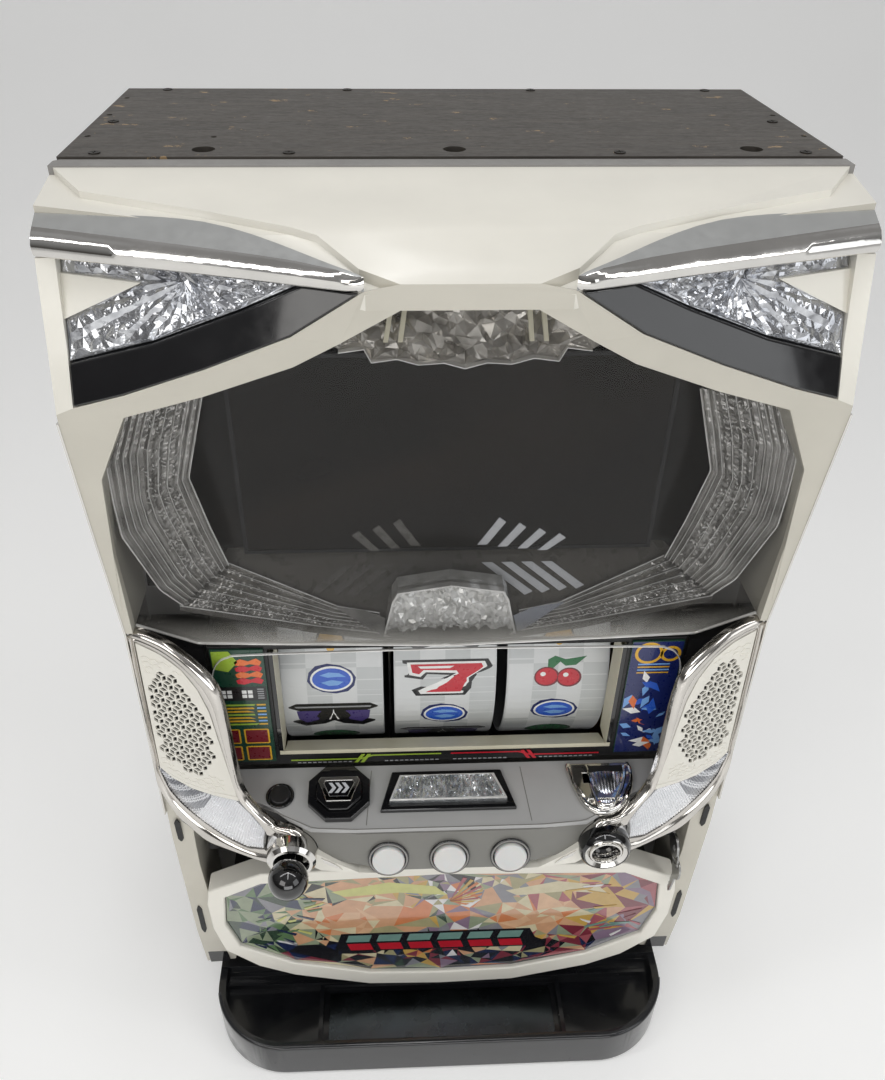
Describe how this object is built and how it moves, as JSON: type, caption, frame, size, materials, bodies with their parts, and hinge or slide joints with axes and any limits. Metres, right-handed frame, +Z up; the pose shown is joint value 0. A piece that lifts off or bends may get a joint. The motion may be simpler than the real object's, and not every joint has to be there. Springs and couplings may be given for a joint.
{
  "type": "slot machine",
  "caption": "Reel slot machine with a wooden cabinet, a hinged moulded door, wing lamps, a screen, spinning reels, press buttons, a start lever and a medal tray.",
  "frame": {"origin": "middle of the footprint, on the floor", "axes": "+X to the player's right, -Y towards the player, +Z up"},
  "size_m": [0.475, 0.368, 0.81],
  "materials": {
    "laminate": "dark brown-black wood-grain laminate on board",
    "frame_grey": "light grey satin",
    "ivory": "ivory-white satin moulding",
    "silver": "matte silver paint with a polished edge",
    "chrome": "bright plating",
    "clear": "clear faceted acrylic",
    "gloss_black": "piano black",
    "smoked": "smoked clear acrylic",
    "screen": "dark display glass",
    "print_black": "printed black acrylic",
    "cream": "cream satin",
    "info_print": "printed film behind acrylic",
    "deck_grey": "satin grey paint",
    "deck_front_grey": "darker warm grey paint",
    "black_plastic": "satin black",
    "milky": "translucent white",
    "crystal": "clear faceted button cap",
    "tray_black": "glossy black moulding",
    "steel": "zinc-plated steel",
    "art_print": "abstract print behind clear acrylic",
    "reel_white": "printed reel strip on white drum",
    "case_clear": "clear tamper case",
    "motor": "black stepper motor"
  },
  "bodies": {
    "cabinet": {"cabinet_top_board": "laminate", "cabinet_bottom_board": "laminate", "cabinet_side_boards": "laminate", "cabinet_back_board": "laminate", "hinge_brackets": "steel", "lock_strikers": "steel", "reel_shelf": "laminate", "reel_frame": "steel", "reel_motors": "motor", "main_board_case": "case_clear", "power_box": "steel", "hopper_base": "black_plastic", "hopper_tank": "steel"},
    "door": {"door_frame": "frame_grey", "upper_cover": "ivory", "lamp_blades": "silver", "lamp_lenses": "clear", "lamp_strips": "gloss_black", "screen_cover": "smoked", "screen_unit": "screen", "light_guides": "clear", "crystal_ornaments": "crystal", "reel_panel": "print_black", "reel_window_frame": "cream", "info_panels": "info_print", "speaker_frames": "chrome", "speaker_grilles": "ivory", "side_lamps": "clear", "speakers": "black_plastic", "deck_top": "deck_grey", "deck_front": "deck_front_grey", "button_bezels": "black_plastic", "medal_inlet": "chrome", "medal_selector": "steel", "lever_bezel": "chrome", "return_bezel": "chrome", "recess_panel": "black_plastic", "lock_body": "chrome", "lower_frame": "ivory", "lower_panel": "art_print", "lower_light_box": "cream", "side_legs": "ivory", "side_trims": "chrome", "coin_tray": "tray_black", "tray_plate": "print_black"},
    "reel_left": {"reel_left": "reel_white"},
    "reel_centre": {"reel_centre": "reel_white"},
    "reel_right": {"reel_right": "reel_white"},
    "hopper_disc": {"hopper_disc": "black_plastic"},
    "lever_gimbal": {"lever_gimbal": "steel"},
    "start_lever": {"start_lever": "gloss_black"},
    "return_button": {"return_button": "steel"},
    "stop_left": {"stop_button_left": "milky"},
    "stop_centre": {"stop_button_centre": "milky"},
    "stop_right": {"stop_button_right": "milky"},
    "max_button": {"max_button": "crystal"},
    "bet_button": {"bet_button": "black_plastic"},
    "push_button": {"push_button": "crystal"},
    "lock_key": {"lock_key": "chrome"},
    "lock_bar": {"lock_bar": "steel"}
  },
  "joints": [
    {"name": "door_swing", "type": "hinge", "parent": "cabinet", "child": "door", "pos_m": [-0.231, -0.027, 0.4], "axis": [0, 0, -1], "range_deg": [0, 95]},
    {"name": "reel_spin_left", "type": "hinge", "parent": "cabinet", "child": "reel_left", "pos_m": [-0.093, 0.059, 0.39], "axis": [1, 0, 0], "continuous": true},
    {"name": "reel_spin_centre", "type": "hinge", "parent": "cabinet", "child": "reel_centre", "pos_m": [0, 0.059, 0.39], "axis": [1, 0, 0], "continuous": true},
    {"name": "reel_spin_right", "type": "hinge", "parent": "cabinet", "child": "reel_right", "pos_m": [0.093, 0.059, 0.39], "axis": [1, 0, 0], "continuous": true},
    {"name": "hopper_spin", "type": "hinge", "parent": "cabinet", "child": "hopper_disc", "pos_m": [-0.07, 0.089, 0.0745], "axis": [0, 0, 1], "continuous": true},
    {"name": "lever_updown", "type": "hinge", "parent": "door", "child": "lever_gimbal", "pos_m": [-0.126, -0.1235, 0.308], "axis": [1, 0, 0], "range_deg": [-8, 8], "stiffness_Nm_per_rad": 2},
    {"name": "lever_sideways", "type": "hinge", "parent": "lever_gimbal", "child": "start_lever", "pos_m": [-0.126, -0.1235, 0.308], "axis": [0, 0, 1], "range_deg": [-8, 8], "stiffness_Nm_per_rad": 2},
    {"name": "stop_press_left", "type": "slide", "parent": "door", "child": "stop_left", "axis": [0, 0.9687, -0.2484], "range_m": [0, 0.0035], "stiffness_N_per_m": 400, "springref_m": -0.003},
    {"name": "stop_press_centre", "type": "slide", "parent": "door", "child": "stop_centre", "axis": [0, 0.9687, -0.2484], "range_m": [0, 0.0035], "stiffness_N_per_m": 400, "springref_m": -0.003},
    {"name": "stop_press_right", "type": "slide", "parent": "door", "child": "stop_right", "axis": [0, 0.9687, -0.2484], "range_m": [0, 0.0035], "stiffness_N_per_m": 400, "springref_m": -0.003},
    {"name": "max_press", "type": "slide", "parent": "door", "child": "max_button", "axis": [0, 0.1198, -0.9928], "range_m": [0, 0.0035], "stiffness_N_per_m": 400, "springref_m": -0.003},
    {"name": "bet_press", "type": "slide", "parent": "door", "child": "bet_button", "axis": [0, 0.1198, -0.9928], "range_m": [0, 0.0035], "stiffness_N_per_m": 400, "springref_m": -0.003},
    {"name": "push_press", "type": "slide", "parent": "door", "child": "push_button", "axis": [0, 0.1198, -0.9928], "range_m": [0, 0.0035], "stiffness_N_per_m": 400, "springref_m": -0.003},
    {"name": "return_press", "type": "slide", "parent": "door", "child": "return_button", "axis": [0, 1, 0], "range_m": [0, 0.0035], "stiffness_N_per_m": 400, "springref_m": -0.003},
    {"name": "key_turn", "type": "hinge", "parent": "door", "child": "lock_key", "pos_m": [0.203, -0.076, 0.252], "axis": [0, 1, 0], "range_deg": [0, 45], "stiffness_Nm_per_rad": 0.05},
    {"name": "bar_lift", "type": "slide", "parent": "door", "child": "lock_bar", "axis": [0, 0, 1], "range_m": [0, 0.008]}
  ],
  "couplings": [
    {"joint": "key_turn", "follows": "bar_lift", "rad_per_m": 98}
  ]
}
